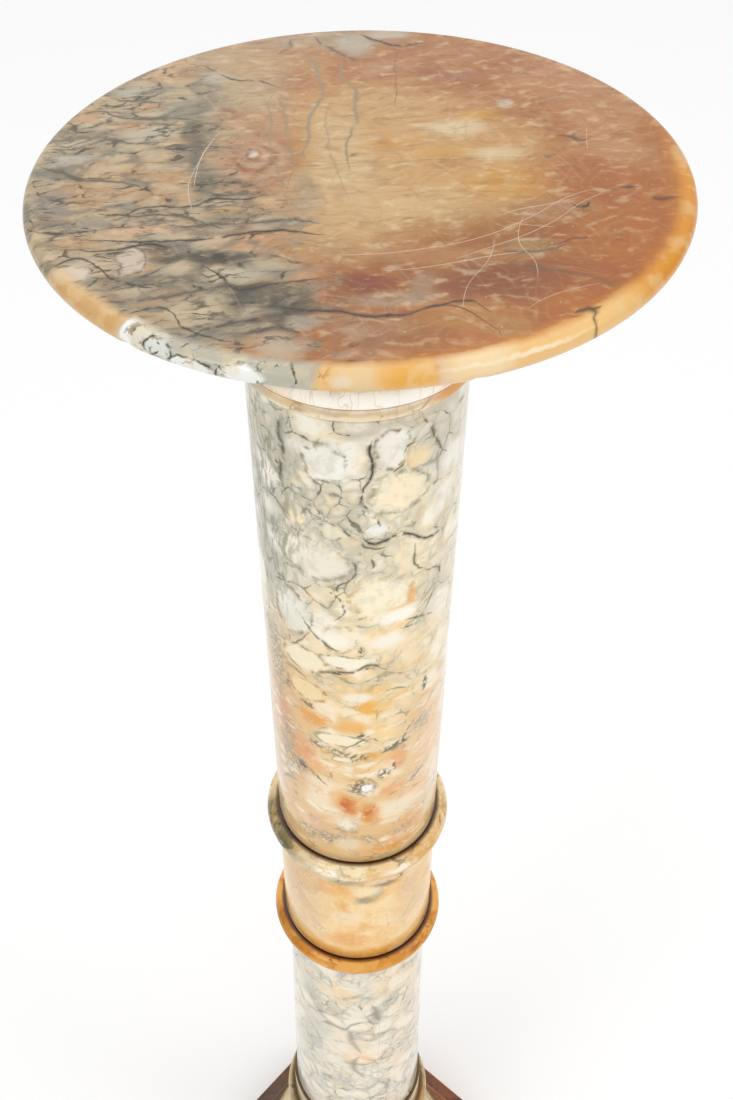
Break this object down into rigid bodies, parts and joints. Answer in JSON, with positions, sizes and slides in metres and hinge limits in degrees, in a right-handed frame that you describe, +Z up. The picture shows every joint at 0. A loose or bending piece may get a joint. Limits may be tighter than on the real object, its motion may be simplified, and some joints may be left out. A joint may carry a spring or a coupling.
{
  "type": "marble pedestal column",
  "caption": "Tall turned marble pedestal: a round top on a slender ringed column, standing on a stepped octagonal plinth.",
  "frame": {"origin": "middle of the plinth's underside, at floor level", "axes": "+Z up along the column; a flat of the octagonal plinth faces -Y, the side that the picture shows"},
  "size_m": [0.28, 0.28, 1.07],
  "materials": {
    "honey_marble": "polished, lightly scratched",
    "cream_marble": "polished",
    "breccia_marble": "polished",
    "olive_marble": "polished",
    "peach_marble": "polished",
    "amber_marble": "polished",
    "pale_marble": "polished",
    "tan_marble": "polished",
    "brown_marble": "polished"
  },
  "bodies": {
    "root": {"top_slab": "honey_marble", "capital": "cream_marble", "upper_shaft": "breccia_marble", "upper_ring": "olive_marble", "middle_drum": "peach_marble", "lower_ring": "amber_marble", "lower_shaft": "pale_marble", "base_moulding": "tan_marble", "plinth": "brown_marble"}
  },
  "joints": []
}
